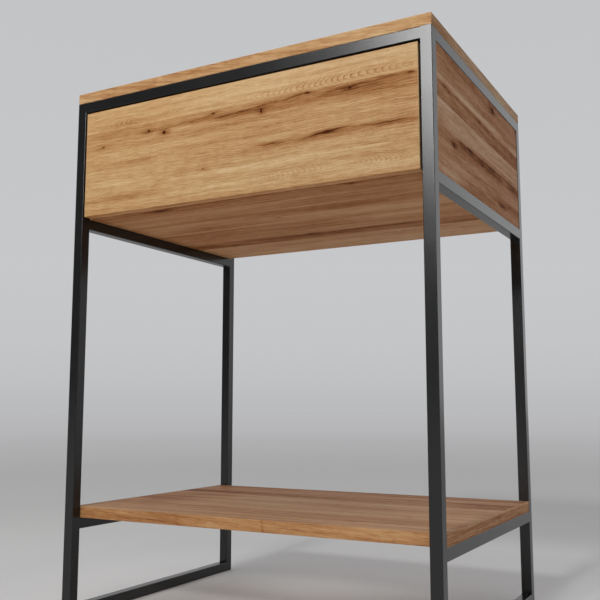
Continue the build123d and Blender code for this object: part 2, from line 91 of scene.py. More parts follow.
class Graph:
    """Writes the nodes of one material or world."""

    def __init__(self, tree):
        self.tree = tree

    def add(self, kind, **settings):
        node = self.tree.nodes.new(kind)
        for key, value in settings.items():
            setattr(node, key, value)
        return node

    def feed(self, socket, value):
        if isinstance(value, Value):
            self.tree.links.new(value.socket, socket)
        elif isinstance(value, (tuple, list)) and socket.type == "RGBA":
            socket.default_value = (*value, 1.0)
        else:
            socket.default_value = value

    def math(self, operation, a, b=None):
        node = self.add("ShaderNodeMath", operation=operation)
        for socket, value in zip(node.inputs, (a, b)):
            if value is not None:
                self.feed(socket, value)
        return Value(self, node.outputs[0])

    def coordinates(self, kind):
        return Value(self, self.add("ShaderNodeTexCoord").outputs[kind])

    def split(self, vector):
        node = self.add("ShaderNodeSeparateXYZ")
        self.feed(node.inputs[0], vector)
        return [Value(self, s) for s in node.outputs]

    def vector(self, x, y, z):
        node = self.add("ShaderNodeCombineXYZ")
        for socket, value in zip(node.inputs, (x, y, z)):
            self.feed(socket, value)
        return Value(self, node.outputs[0])

    def position(self):
        """Object coordinates in millimetres of the rest pose, as three floats."""
        scaled = self.add("ShaderNodeVectorMath", operation="SCALE")
        self.feed(scaled.inputs[0], self.coordinates("Object"))
        scaled.inputs["Scale"].default_value = 1000.0
        return self.split(Value(self, scaled.outputs[0]))

    def length_from(self, point, scale, centre):
        """Distance of point from centre, each axis first multiplied by its scale."""
        moved = self.add("ShaderNodeVectorMath", operation="MULTIPLY_ADD")
        self.feed(moved.inputs[0], point)
        moved.inputs[1].default_value = scale
        moved.inputs[2].default_value = [-c * s for c, s in zip(centre, scale)]
        length = self.add("ShaderNodeVectorMath", operation="LENGTH")
        self.tree.links.new(moved.outputs[0], length.inputs[0])
        return Value(self, length.outputs["Value"])

    def noise(self, vector, detail=2.0, roughness=0.5):
        node = self.add("ShaderNodeTexNoise")
        self.feed(node.inputs["Vector"], vector)
        for key, value in (("Scale", 1.0), ("Detail", detail), ("Roughness", roughness)):
            node.inputs[key].default_value = value
        return Value(self, node.outputs["Fac"])

    def cells(self, x, y, z, size, detail=2.0):
        """Noise with cells of the same size in mm on every axis."""
        return self.noise(self.vector(x / size, y / size, z / size), detail)

    def ramp(self, factor, stops, interpolation="LINEAR"):
        node = self.add("ShaderNodeValToRGB")
        node.color_ramp.interpolation = interpolation
        elements = node.color_ramp.elements
        elements.remove(elements[-1])
        for i, (place, colour) in enumerate(stops):
            element = elements[0] if i == 0 else elements.new(place)
            element.position = place
            element.color = (*colour, 1.0)
        self.feed(node.inputs[0], factor)
        return Value(self, node.outputs[0])

    def channels(self, colour):
        node = self.add("ShaderNodeSeparateColor")
        self.feed(node.inputs[0], colour)
        return [Value(self, s) for s in node.outputs]

    def mix(self, factor, a, b, blend="MIX"):
        node = self.add("ShaderNodeMix", data_type="RGBA", blend_type=blend)
        self.feed(node.inputs["Factor"], factor)
        self.feed(node.inputs[6], a)
        self.feed(node.inputs[7], b)
        return Value(self, node.outputs[2])

    def tint(self, colour, by):
        """colour with each channel multiplied by that of by."""
        return self.mix(1.0, colour, by, "MULTIPLY")

    def grey(self, level):
        return self.vector(level, level, level)

    def choose(self, factor, a, b):
        """Float a where factor is 0, b where it is 1."""
        node = self.add("ShaderNodeMix", data_type="FLOAT")
        self.feed(node.inputs[0], factor)
        self.feed(node.inputs[2], a)
        self.feed(node.inputs[3], b)
        return Value(self, node.outputs[0])

    def smooth(self, value, low, high, out_low=0.0, out_high=1.0):
        """Smooth step of value from low to high, of which low may be the larger."""
        node = self.add("ShaderNodeMapRange", interpolation_type="SMOOTHSTEP")
        self.feed(node.inputs[0], value)
        for socket, number in zip(node.inputs[1:5], (low, high, out_low, out_high)):
            self.feed(socket, number)
        return Value(self, node.outputs[0])


def falloff(g, place, along, across, half_length, half_width, change):
    """change at the middle of a soft ellipse, 0 outside it."""
    apart = g.length_from(place, (1 / half_length, 1 / half_width, 0), (along, across, 0))
    return g.smooth(apart, 1.0, 0.0, 0.0, change)


class Surface(Graph):
    """A material with one Principled shader."""

    def __init__(self, name):
        self.material = bpy.data.materials.new(name)
        self.material.use_nodes = True
        super().__init__(self.material.node_tree)
        self.tree.nodes.clear()
        output = self.add("ShaderNodeOutputMaterial")
        self.shader = self.add("ShaderNodeBsdfPrincipled")
        self.tree.links.new(self.shader.outputs[0], output.inputs[0])

    def bump(self, height, distance):
        node = self.add("ShaderNodeBump")
        node.inputs["Distance"].default_value = distance
        self.feed(node.inputs["Height"], height)
        self.tree.links.new(node.outputs[0], self.shader.inputs["Normal"])

    def finish(self, colour, roughness, **fixed):
        self.feed(self.shader.inputs["Base Color"], colour)
        self.feed(self.shader.inputs["Roughness"], roughness)
        for key, value in fixed.items():
            self.shader.inputs[key.replace("_", " ")].default_value = value
        return self.material


# ------------------------------------------------------------------ camera
CAMERA_PLACE = (0.5857, -1.0855, 0.2864)
CAMERA_RAISED, CAMERA_TURNED = 7.35, 28.77      # degrees above level, and left of straight back

camera_data = bpy.data.cameras.new("camera")
camera_data.lens = 50.0
camera_data.sensor_width = 36.0
camera_data.clip_end = 100.0
camera = bpy.data.objects.new("camera", camera_data)
camera.location = CAMERA_PLACE
camera.rotation_euler = (math.radians(90 + CAMERA_RAISED), 0.0, math.radians(CAMERA_TURNED))
scene.collection.objects.link(camera)
scene.camera = camera


# ------------------------------------------------------------------ stage
# distance from the table in metres, grey and blue factor of the floor; the grey holds painted light and
# shade: lifted near the table, lowest one to three metres out, higher again towards the horizon
FLOOR_PAINTED_TONES = ((0.0, 0.78, 1.0), (0.2, 0.74, 1.005), (0.35, 0.66, 1.01), (0.6, 0.570, 1.01),
               (1.0, 0.552, 1.0), (1.5, 0.522, 1.0), (2.5, 0.536, 1.0), (3.2, 0.566, 1.003),
               (4.4, 0.628, 1.01), (6.3, 0.694, 1.02), (9.0, 0.768, 1.02), (13.0, 0.805, 1.02),
               (23.0, 0.832, 1.02), (40.0, 0.845, 1.02))
FLOOR_RADIUS, FLOOR_SIDES = 40.0, 96
# middle and half sizes in millimetres, and strength, of the painted glow of the floor under the shelf,
# which lifts the shade there, and of painted shade on the floor right under the key light
FLOOR_PAINTED_GLOW = (-65.0, 97.0, 350.0, 165.0, 0.19)
FLOOR_PAINTED_SHADE_UNDER_KEY = (0.0, -5900.0, 6500.0, 4400.0, 0.55)
# height of the view direction, colour of the backdrop there
BACKDROP = ((0.0, (0.490, 0.496, 0.506)), (0.03, (0.523, 0.529, 0.541)),
            (0.07, (0.550, 0.556, 0.570)), (0.16, (0.567, 0.573, 0.587)),
            (0.45, (0.546, 0.552, 0.566)), (1.0, (0.52, 0.525, 0.54)))
LIGHT_AIM = (0, 0, 0.4)
# place, width, radiance
KEY = ((-0.09, -5.9, 3.85), 0.9, 96.0)
CEILING = ((-0.02, -1.38, 3.86), 0.7, 8.0)
# the reflector stands REFLECTOR_AWAY from the top of the right front leg, at these angles
LEG_TOP = Vector((0.267, -0.2, 0.69))
REFLECTOR_AZIMUTH, REFLECTOR_ELEVATION = math.radians(6.2), math.radians(26.1)
REFLECTOR_AWAY, REFLECTOR_WIDTH, REFLECTOR_RADIANCE = 6.0, 3.24, 16.0


def stage_floor():
    """Pale floor whose grey carries painted light and shade: lighter near the table, darkest one to three
    metres out and right under the key light, lighter again towards the horizon to meet the backdrop, and with
    a painted glow under the shelf.
    """
    angles = [math.tau * i / FLOOR_SIDES for i in range(FLOOR_SIDES)]
    mesh = bpy.data.meshes.new("floor")
    mesh.from_pydata([(FLOOR_RADIUS * math.cos(a), FLOOR_RADIUS * math.sin(a), 0.0) for a in angles], [],
                     [list(range(FLOOR_SIDES))])
    floor = bpy.data.objects.new("floor", mesh)
    scene.collection.objects.link(floor)
    g = Surface("floor")
    x, y, _ = g.position()
    far = (x * x + y * y).sqrt() / (1000.0 * FLOOR_RADIUS)
    # the square root gives the near tones more of the ramp
    stops = [(math.sqrt(r / FLOOR_RADIUS), (a, a, a * blue)) for r, a, blue in FLOOR_PAINTED_TONES]
    place = g.vector(x, y, 0.0)
    # painted light and shade: the floor a little lighter in front of the table, darker behind it, and darker
    # right under the key light
    toward = g.smooth(y, 0.0, 500.0, 1.03, 0.965) * (1.0 - falloff(g, place, *FLOOR_PAINTED_SHADE_UNDER_KEY))
    tone = g.tint(g.ramp(far.sqrt(), stops), g.grey(toward))
    # painted glow: the floor emits light under the shelf to lift the shade there, though it is no lamp
    g.feed(g.shader.inputs["Emission Color"], g.grey(falloff(g, place, *FLOOR_PAINTED_GLOW)))
    mesh.materials.append(g.finish(tone, 0.9, Specular_IOR_Level=0.1, Emission_Strength=1.0))


def area_light(name, place, target, size, radiance, colour=(1.0, 1.0, 1.0)):
    """Round soft box that shines radiance times its colour towards target."""
    data = bpy.data.lights.new(name, "AREA")
    data.shape = "DISK"
    data.size = size
    data.energy = radiance * math.pi * math.pi * size * size / 4
    data.color = colour
    light = bpy.data.objects.new(name, data)
    light.location = place
    light.rotation_euler = (Vector(target) - Vector(place)).to_track_quat("-Z", "Y").to_euler()
    light.visible_camera = False
    scene.collection.objects.link(light)
    return light


def studio_world():
    """Pale backdrop for the camera, a directional room for the steel, an evener one for the rest."""
    world = bpy.data.worlds.new("studio")
    scene.world = world
    world.use_nodes = True
    g = Graph(world.node_tree)
    background = world.node_tree.nodes["Background"]
    direction = g.coordinates("Generated")
    _, y, z = g.split(direction)
    overhead = g.smooth(z, 0.6, 0.9)
    # the steel sees a dark room in front, a paler one behind with a bright patch, a pale ceiling
    level = g.smooth(y, -0.1, 0.5, 0.13, 0.54)
    patch = g.smooth(g.length_from(direction, (1, 1, 1), (0.29, 0.95, 0.12)), 0.55, 0.1, 0.0, 0.36)
    mirrored = g.tint(g.grey(g.choose(overhead, level + patch, 1.3)), (0.99, 1.0, 1.015))
    room = g.choose(overhead, g.smooth(y, -0.6, 0.6, 0.24, 0.36), 0.95)
    path = g.add("ShaderNodeLightPath")
    seen = Value(g, path.outputs["Is Camera Ray"])
    matt = Value(g, path.outputs["Is Diffuse Ray"])
    light = g.mix(matt, mirrored, g.grey(room))
    g.feed(background.inputs[0], g.mix(seen, light, g.ramp(z, BACKDROP)))
    background.inputs[1].default_value = 1.0


def studio_lights():
    """Key and ceiling light for the matt surfaces, and a reflector that only the steel sees."""
    place, width, radiance = KEY
    key = area_light("key", place, LIGHT_AIM, width, radiance, (1.0, 0.99, 0.97))
    key.visible_glossy = False
    place, width, radiance = CEILING
    ceiling = area_light("ceiling", place, LIGHT_AIM, width, radiance)
    ceiling.visible_glossy = False
    across = math.cos(REFLECTOR_ELEVATION)
    aim = Vector((-math.sin(REFLECTOR_AZIMUTH) * across, -math.cos(REFLECTOR_AZIMUTH) * across,
                  math.sin(REFLECTOR_ELEVATION)))
    reflector = area_light("reflector", LEG_TOP + REFLECTOR_AWAY * aim, LEG_TOP,
                           REFLECTOR_WIDTH, REFLECTOR_RADIANCE)
    reflector.visible_diffuse = False


stage_floor()
studio_world()
studio_lights()


# ------------------------------------------------------------------ wood
# A stave of a board is (upper edge, tone, pith across, pith depth, ring width, taper), where
# taper is how fast the rings run out along the board: 0.2 draws cathedrals, 0.01 straight
# grain. A mark is (along, across, half length, half width, change of tone). A knot has the same
# first four and a darkness. A seam is (from along, to along, from across, to across,
# half width, darkness). An arc is a place, laid out as a mark, where cathedrals show, and how
# strongly. Tone runs from 0, the dark of a knot, to 1, the palest sapwood. On the two ends of a
# board, along stands for the place across it plus END_SHIFT, and across for the height.
OAK_TONES = ((0.0, (0.070, 0.011, 0.001)), (0.2, (0.185, 0.060, 0.013)),
             (0.45, (0.405, 0.172, 0.058)), (0.7, (0.578, 0.318, 0.138)),
             (0.9, (0.685, 0.435, 0.212)), (1.0, (0.745, 0.505, 0.270)))
PLAIN = (1.0, 1.0, 1.0)
# A ramp holds 0 to 1, so the numbers of a stave are packed by these: pith and depth in mm
# beside the board's low edge, ring width in mm, and the taper about its middle.
PITH_REACH, DEPTH_REACH, RING_REACH, TAPER_MIDDLE = 400.0, 100.0, 10.0, 0.5
STRAIGHT_TAPER = 0.05       # rings that run out slower than this count as straight grain
SWEEP_REACH = 270.0         # sweep tints reach their ends this far from the middle
END_SHIFT = 400.0           # keeps the grain of the ends apart from that of the faces
ROW_STEP, ROW_SPREAD = 0.37, 731.0      # give each stave noise of its own
# how far each layer moves the tone
BROAD, STREAK, SIDE_STREAK, FIBRE, RIPPLE, PORE, DARK = 0.42, 0.66, 0.55, 0.60, 0.12, 0.13, 0.8
STRAIGHT_RING, FAINT_RING, KNOT_HALO, SEAM_HALO = 0.11, 0.02, 0.30, 0.14


def stave_values(g, staves, low, high, level):
    """Tone, pith, depth, ring width, a number of its own and taper of the stave at each point."""
    first, second, bottom = [], [], low
    for top, tone, pith, depth, ring, taper in staves:
        spot = min(max((bottom - low) / (high - low), 0.0), 1.0)
        first.append((spot, (tone, (pith - low) / PITH_REACH + 0.5, depth / DEPTH_REACH)))
        second.append((spot, (ring / RING_REACH, (ROW_STEP * len(first)) % 1.0, taper + TAPER_MIDDLE)))
        bottom = top
    tone, pith, depth = g.channels(g.ramp(level, first, "CONSTANT"))
    ring, own, taper = g.channels(g.ramp(level, second, "CONSTANT"))
    pith = (pith - 0.5) * PITH_REACH + low
    return tone, pith, depth * DEPTH_REACH, ring * RING_REACH, own, taper - TAPER_MIDDLE


def knot_layers(g, place, v, knots):
    """Darkening round the knots, bend of the rings there, and the dark of their hearts."""
    halos = bend = hearts = 0.0
    for along, across, half_length, half_width, darkness in knots:
        halo = falloff(g, place, along, across, 4.0 * half_length + 7.0, 2.0 * half_width + 3.0, 1.0)
        halos = halos + halo * (KNOT_HALO * darkness)
        bend = bend + halo * (v - across) * 0.55
        hearts = hearts + falloff(g, place, along, across, 1.35 * half_length, 1.35 * half_width, darkness)
    return halos, bend, hearts


def seam_layers(g, u, v, wander, row, seed, seams):
    """Darkening beside the cracks, and the dark of the cracks, which come and go."""
    jitter = (g.noise(g.vector(u / 30.0 + row, 5.0, 0.0), 3.0) - 0.5) * 6.0
    broken = g.smooth(g.noise(g.vector(u / 24.0 + seed, 9.0, 2.0), 2.0), 0.24, 0.54)
    halos = cracks = 0.0
    for start, stop, v_start, v_stop, half_width, darkness in seams:
        line = g.smooth(u, start, stop) * (v_stop - v_start) + v_start
        gap = (v + (wander - 0.5) * 2.0 - line + jitter).abs()
        window = g.smooth(u, start, start + 30.0) * g.smooth(u, stop, stop - 30.0)
        cracks = cracks + g.smooth(gap, half_width, 0.0, 0.0, darkness) * (window * broken)
        halos = halos + g.smooth(gap, 4.0 * half_width + 2.5, 0.0, 0.0, SEAM_HALO) * window
    return halos, cracks


def oak(name, axes, face, low, high, staves, marks=(), knots=(), seams=(), arcs=(), seed=0.0,
        stain_and_shade=(PLAIN, PLAIN), sweep=(PLAIN, PLAIN), edge_stain=PLAIN, end_tint_and_sheen=PLAIN,
        polish=0.06, slant=0.0, bands=0.12):
    """Knotty oak board with its grain along axes[0], and staves side by side along axes[1].

    The main face stands at face on axes[2]. The tints multiply the colour: stain at the low and
    the high edge, sweep at the two ends of the grain, edge_stain on the two long edges and
    end_tint_and_sheen on the two ends. polish is how much of the surface shines, slant turns the grain
    of the long edges, and bands is the strength of stripes a few mm wide."""
    g = Surface(name)
    position = dict(zip("XYZ", g.position()))
    normal = dict(zip("XYZ", g.split(g.coordinates("Normal"))))
    along, across, into = (position[a] for a in axes)
    # the two ends are lipped with a strip whose grain runs across the board
    end = g.math("GREATER_THAN", normal[axes[0]].abs(), 0.7)
    edge = g.math("GREATER_THAN", normal[axes[1]].abs(), 0.7)
    u = g.choose(end, along, across + END_SHIFT)
    v = g.choose(end, across, into)
    w = g.choose(end, into + edge * along * slant, along)

    # slow wander, so that no mark has a drawn outline
    wander = g.noise(g.vector(u / 26.0 + seed, v / 9.0, w / 9.0), 3.0)
    drift = g.noise(g.vector(u / 90.0 + seed, v / 60.0 + 7.3, w / 60.0), 1.0)
    across_now = v + (wander - 0.5) * 3.6 + (drift - 0.5) * 9.0
    place = g.vector(u + (drift - 0.5) * 14.0, v + (wander - 0.5) * 3.6 + (drift - 0.5) * 4.0, 0.0)

    level = (v - low) / (high - low)
    tone, pith, depth, ring_width, own, taper = stave_values(g, staves, low, high, level)
    row = own * ROW_SPREAD + seed

    def layer(length, width, detail, roughness=0.5, sideways=v, thick=None):
        """Noise stretched along the grain, with cells length by width by thick in mm."""
        at = g.vector(u / length + row, sideways / width, w / (thick or width))
        return g.noise(at, detail, roughness)

    # fibres and colour streaks
    broad = layer(210.0, 15.0, 2.0)
    streak = layer(120.0, 4.2, 5.0, 0.68, across_now, 3.2)
    band = layer(320.0, 6.5, 1.0)
    fibre = layer(20.0, 1.2, 2.0, 0.6, across_now)
    pore = layer(5.0, 0.34, 1.0, 0.5, across_now)
    ripple = layer(11.0, 24.0, 2.0)
    side_streak = g.math("MAXIMUM", edge, end) * SIDE_STREAK
    shade = tone + (broad - 0.5) * BROAD + (streak - 0.5) * (side_streak + STREAK) + (fibre - 0.5) * FIBRE
    shade = shade + (ripple - 0.5) * RIPPLE + (band - 0.5) * bands

    # growth rings run out along the stave and part round each knot
    knot_halos, bend, hearts = knot_layers(g, place, v, knots)
    swing = g.noise(g.vector(u / 160.0 + row, 3.1, 0.0), 1.0) - 0.5
    flat = across_now - bend - pith
    deep = depth + (into - face).abs() * 0.5
    rings = (flat * flat + deep * deep).sqrt() - taper * u + swing * 8.0
    phase = (rings / ring_width + (streak - 0.5) * 0.9).fract()
    # straight rings show everywhere, cathedrals only in the places given
    figure = FAINT_RING
    for arc in arcs:
        figure = figure + falloff(g, place, *arc)
    straight = g.math("LESS_THAN", taper.abs(), STRAIGHT_TAPER)
    ring = (phase ** 3.0) * g.choose(straight, figure, STRAIGHT_RING)
    shade = shade - knot_halos - ring - g.smooth(pore, 0.60, 0.72, 0.0, PORE)

    for mark in marks:
        shade = shade + falloff(g, place, *mark)
    seam_halos, cracks = seam_layers(g, u, v, wander, row, seed, seams)
    dark = hearts + cracks
    shade = shade - seam_halos - dark * DARK

    # the tint from the low to the high edge is painted shade on the shelf, the box bottom and the right side
    # panel, and the end tint of the top is a painted sheen
    colour = g.tint(g.ramp(shade, OAK_TONES), g.mix(level, *stain_and_shade))
    colour = g.tint(colour, g.mix(g.smooth(along, -SWEEP_REACH, SWEEP_REACH), *sweep))
    for mask, stained in ((edge, edge_stain), (end, end_tint_and_sheen)):
        colour = g.mix(mask, colour, g.tint(colour, stained))
    g.bump(fibre * 0.35 + streak * 0.3 - g.smooth(pore, 0.60, 0.75, 0.0, 0.8) - ring * 2.5 - dark, 0.00018)
    return g.finish(colour, g.smooth(shade, 0.2, 0.9, 0.72, 0.60), Specular_IOR_Level=polish)


PLY_STEP = 3.4              # two plies of the drawer's 12 mm plywood, in mm


def plain_board(name, axes):
    """Pale birch plywood: quiet face grain, plies showing on the edges."""
    g = Surface(name)
    position = dict(zip("XYZ", g.position()))
    u, v, w = (position[a] for a in axes)
    streak = g.noise(g.vector(u / 60.0, v / 3.5, w / 3.5), 3.0)
    fibre = g.noise(g.vector(u / 14.0, v / 0.7, w / 0.7), 2.0)
    ply = g.smooth(((w + PLY_STEP / 4) / PLY_STEP).fract(), 0.42, 0.58)
    tone = streak * 0.5 + fibre * 0.3 + ply * 0.12
    colour = g.ramp(tone, ((0.15, (0.50, 0.36, 0.21)), (0.45, (0.66, 0.51, 0.33)),
                           (0.75, (0.76, 0.62, 0.44))))
    g.bump(fibre + streak, 0.00006)
    return g.finish(colour, g.smooth(fibre, 0.3, 0.7, 0.42, 0.55), Specular_IOR_Level=0.4)


# ------------------------------------------------------------------ metal, board and plastic
def powder_coat(name):
    """Satin black powder coat with a faint orange peel."""
    g = Surface(name)
    x, y, z = g.position()
    cloud = g.cells(x, y, z, 45.0, 3.0)
    peel = g.cells(x, y, z, 1.3, 1.0)
    grit = g.cells(x, y, z, 0.4, 1.0)
    colour = g.ramp(cloud, ((0.3, (0.0066, 0.0068, 0.0071)), (0.7, (0.0082, 0.0083, 0.0085))))
    g.bump(peel * 0.8 + grit * 0.2, 0.000004)
    return g.finish(colour, g.smooth(cloud, 0.3, 0.7, 0.205, 0.225))


def metal(name, dark, light, roughness, grain=(0.6, 8.0, 0.6)):
    """Bare or plated steel with a little tarnish. grain is the size in mm of its drawn marks."""
    g = Surface(name)
    x, y, z = g.position()
    drawn = g.noise(g.vector(x / grain[0], y / grain[1], z / grain[2]), 2.0)
    cloud = g.cells(x, y, z, 9.0, 3.0)
    colour = g.mix(cloud * 0.7 + drawn * 0.3, dark, light)
    g.bump(drawn, 0.00001)
    return g.finish(colour, g.smooth(cloud + drawn, 0.7, 1.3, roughness, roughness + 0.12), Metallic=1.0)


def hardboard(name):
    """Brown pressed fibre with dark flecks."""
    g = Surface(name)
    x, y, z = g.position()
    felt = g.noise(g.vector(x / 1.6, y / 1.6, z / 0.5), 4.0, 0.65)
    cloud = g.cells(x, y, z, 30.0, 3.0)
    fleck = g.smooth(g.noise(g.vector(x / 0.9, y / 0.5, z / 0.5), 1.0), 0.66, 0.74, 0.0, 0.3)
    colour = g.ramp(felt * 0.6 + cloud * 0.4 - fleck, ((0.25, (0.13, 0.070, 0.035)),
                                                       (0.5, (0.27, 0.160, 0.085)),
                                                       (0.75, (0.38, 0.245, 0.140))))
    g.bump(felt, 0.00005)
    return g.finish(colour, g.smooth(felt, 0.3, 0.7, 0.38, 0.55), Specular_IOR_Level=0.4)


def plastic(name, dark, light):
    """Matt moulded plastic with a fine grain."""
    g = Surface(name)
    x, y, z = g.position()
    grain = g.cells(x, y, z, 0.5)
    cloud = g.cells(x, y, z, 12.0)
    g.bump(grain, 0.00003)
    return g.finish(g.mix(cloud * 0.7 + grain * 0.3, dark, light), g.smooth(grain, 0.3, 0.7, 0.42, 0.55))


# ------------------------------------------------------------------ the boards of this table
PLAIN_ARC = 0.36            # usual strength of a cathedral


# Boards that the camera doesn't see take their staves, knots, seams and arcs from these.
def some_staves(rng, low, high):
    staves, edge = [], low
    while edge < high:
        edge += rng.uniform(30.0, 52.0)
        flat = rng.random() < 0.4
        pith = edge - rng.uniform(10, 30) if flat else edge + rng.choice((-1, 1)) * rng.uniform(60, 120)
        tone = rng.uniform(0.60, 0.84)
        depth = rng.uniform(4, 14) if flat else 30.0
        ring = rng.uniform(1.6, 3.0)
        taper = rng.choice((-1, 1)) * (rng.uniform(0.1, 0.24) if flat else 0.01)
        staves.append((edge, tone, pith, depth, ring, taper))
    return staves


def some_knots(rng, low_u, high_u, low_v, high_v, count):
    knots = []
    for _ in range(count):
        size = rng.uniform(1.2, 3.6)
        knots.append((rng.uniform(low_u, high_u), rng.uniform(low_v, high_v), size * rng.uniform(1.0, 1.9),
                      size * 0.8, rng.uniform(0.35, 0.85)))
    return knots


def some_seams(rng, low_u, high_u, low_v, high_v, count):
    seams = []
    for _ in range(count):
        start, row = rng.uniform(low_u, high_u - 160), rng.uniform(low_v, high_v)
        seams.append((start, start + rng.uniform(90, 240), row, row + rng.uniform(-4, 4),
                      rng.uniform(0.6, 1.1), rng.uniform(0.25, 0.5)))
    return seams


def some_arcs(rng, reach, low, high):
    return [(rng.uniform(-reach, reach), rng.uniform(low, high), rng.uniform(70, 160),
             rng.uniform(12, 24), PLAIN_ARC) for _ in range(5)]


FRONT = oak(
    "oak_drawer_front", "XZY", -200.0, 560.0, 715.0,
    staves=((598.0, 0.77, 578.0, 13.0, 1.4, -0.20), (633.0, 0.76, 720.0, 30.0, 2.4, 0.01),
            (681.5, 0.73, 560.0, 30.0, 2.8, 0.01), (715.0, 0.87, 688.0, 8.0, 1.8, 0.20)),
    marks=((190, 667, 190, 15, -0.26), (20, 668, 140, 11, -0.17), (-200, 672, 110, 11, -0.20),
           (20, 622, 130, 11, -0.12), (0, 658, 240, 8, -0.10), (130, 622, 130, 11, -0.24),
           (235, 622, 70, 10, -0.24), (-60, 628, 150, 10, -0.05),
           (-200, 605, 110, 9, 0.10), (40, 594, 190, 7, 0.16), (-200, 580, 110, 13, -0.18),
           (-160, 642, 180, 12, 0.20), (120, 641, 140, 9, 0.04), (-215, 600.5, 60, 1.6, 0.12),
           (235, 655, 60, 12, -0.06), (-190, 686, 110, 8, -0.12), (60, 679, 200, 5, -0.14)),
    knots=((-144, 670, 2.4, 1.6, 0.75), (-118, 663, 3.2, 2.8, 0.95), (-34, 676, 3.6, 1.7, 0.6),
           (41, 667, 1.7, 3.2, 0.75), (111, 679, 4.5, 2.0, 0.65), (168, 674, 3.0, 1.6, 0.4),
           (248, 678, 6.0, 1.8, 0.42), (138, 623.5, 6.5, 0.9, 0.95), (-123, 596, 2.8, 1.2, 0.4),
           (-50, 602, 3.0, 1.8, 0.4), (-227, 658, 4.0, 1.8, 0.4), (60, 621, 6.0, 1.4, 0.25)),
    seams=((-40, 122, 669.0, 678.0, 1.9, 0.30), (115, 256, 675.0, 678.5, 1.9, 0.26),
           (-175, -20, 667.0, 673.5, 0.9, 0.25), (90, 178, 619.5, 627.0, 1.4, 0.42),
           (150, 256, 625.0, 622.0, 0.9, 0.25), (20, 90, 622.0, 619.0, 0.9, 0.2)),
    arcs=((150, 689, 150, 9, 0.45), (50, 688, 60, 8, 0.15), (-190, 690, 32, 8, 0.34), (-110, 692, 50, 6, 0.3),
          (215, 580, 60, 14, 0.24), (90, 578, 70, 12, 0.20)),
    seed=3.7, stain_and_shade=((0.95, 1.01, 1.06), (0.96, 0.955, 0.945)),
    sweep=((1.0, 0.985, 0.94), (1.0, 1.02, 1.06)), edge_stain=(1.08, 0.92, 0.84))

SIDE_RIGHT = oak(
    "oak_side_right", "YZX", 274.5, 559.0, 717.0,
    staves=((581.0, 0.60, 640.0, 30.0, 2.2, 0.01), (619.0, 0.60, 700.0, 30.0, 2.6, 0.01),
            (650.0, 0.84, 560.0, 30.0, 2.4, -0.01), (671.0, 0.50, 740.0, 30.0, 2.4, 0.01),
            (717.0, 0.62, 600.0, 30.0, 2.8, 0.01)),
    marks=((0, 612, 260, 9, -0.22), (-170, 678, 50, 8, 0.12), (172, 678, 60, 8, 0.27),
           (110, 580, 110, 8, -0.22), (-100, 580, 160, 9, 0.18), (-140, 566, 90, 10, 0.28),
           (0, 678, 300, 9, 0.38), (0, 709, 260, 9, -0.12),
           (0, 622, 260, 7, -0.22), (0, 596, 260, 7, 0.08), (-160, 654, 60, 9, 0.24),
           (-165, 597, 60, 9, 0.20), (170, 612, 70, 12, -0.23), (-178, 623, 40, 8, -0.15),
           (170, 640, 90, 9, -0.03)),
    knots=((-61, 617, 3.0, 1.2, 0.5), (-5, 611, 3.0, 1.2, 0.45), (45, 618, 4.0, 1.2, 0.5),
           (-123.5, 607, 3.0, 2.0, 0.85), (51, 706, 5.0, 5.0, 0.7), (-140, 669, 4.0, 1.6, 0.3),
           (-11, 670, 4.0, 1.4, 0.35), (181, 713, 5.0, 3.0, 0.5)),
    seams=((-120, 185, 616.0, 619.0, 1.4, 0.28), (58, 120, 575.0, 574.0, 1.2, 0.60),
           (-185, 60, 671.0, 671.0, 0.6, 0.16), (20, 60, 716.0, 706.0, 1.0, 0.40)),
    # the stain darkens this panel and turns it bluer from edge to edge: painted shade and painted cool light
    # from the right side
    seed=11.0, stain_and_shade=((0.87, 0.86, 1.07), (0.88, 0.87, 1.08)),
    sweep=((1.05, 1.07, 1.10), (0.95, 0.91, 0.93)))

BOX_BOTTOM = oak(
    "oak_box_bottom", "XYZ", 559.5, -185.0, 185.0,
    staves=((-150.0, 0.64, -60.0, 30.0, 2.4, 0.01), (-100.0, 0.80, -250.0, 30.0, 2.8, 0.01),
            (-70.0, 0.72, 10.0, 30.0, 2.4, 0.01), (-30.0, 0.84, -52.0, 3.0, 1.8, 0.18),
            (50.0, 0.69, 160.0, 30.0, 2.8, -0.01), (90.0, 0.53, -20.0, 30.0, 2.2, 0.01),
            (130.0, 0.80, 108.0, 4.0, 2.0, -0.15), (185.0, 0.86, 60.0, 30.0, 2.6, 0.01)),
    marks=((100, -84, 170, 16, -0.24), (-150, -84, 120, 14, 0.12), (-190, -10, 130, 60, -0.11),
           (150, -5, 140, 24, 0.20), (-225, 70, 60, 16, -0.22), (-60, 70, 180, 16, -0.10),
           (130, -125, 190, 30, -0.26), (-150, -50, 170, 26, -0.24)),
    knots=((-143, -177, 8.0, 3.0, 0.85), (160, -181, 5.0, 1.8, 0.6), (-10, -62, 3.0, 1.8, 0.4),
           (-146, -54, 4.0, 2.0, 0.3), (-21, 59, 5.0, 3.0, 0.55), (24, 70, 4.0, 1.8, 0.45),
           (-178, 81, 4.0, 2.0, 0.4), (101, -23, 4.0, 2.0, 0.3), (205, 128, 4.0, 2.0, 0.4)),
    seams=((-160, 200, 64.0, 58.0, 1.1, 0.35), (-250, -90, -176.0, -178.0, 0.9, 0.25),
           (-260, 260, -100.0, -100.0, 0.5, 0.12)),
    arcs=((-40, -50, 150, 16, PLAIN_ARC), (120, 110, 120, 18, PLAIN_ARC)),
    # the stain is painted shade of the underside, darker than the other boards
    seed=13.0, stain_and_shade=((0.92, 0.83, 0.83), (0.92, 0.87, 0.94)), sweep=((0.98, 0.94, 0.91), (1.02, 1.04, 1.08)),
    bands=0.24)

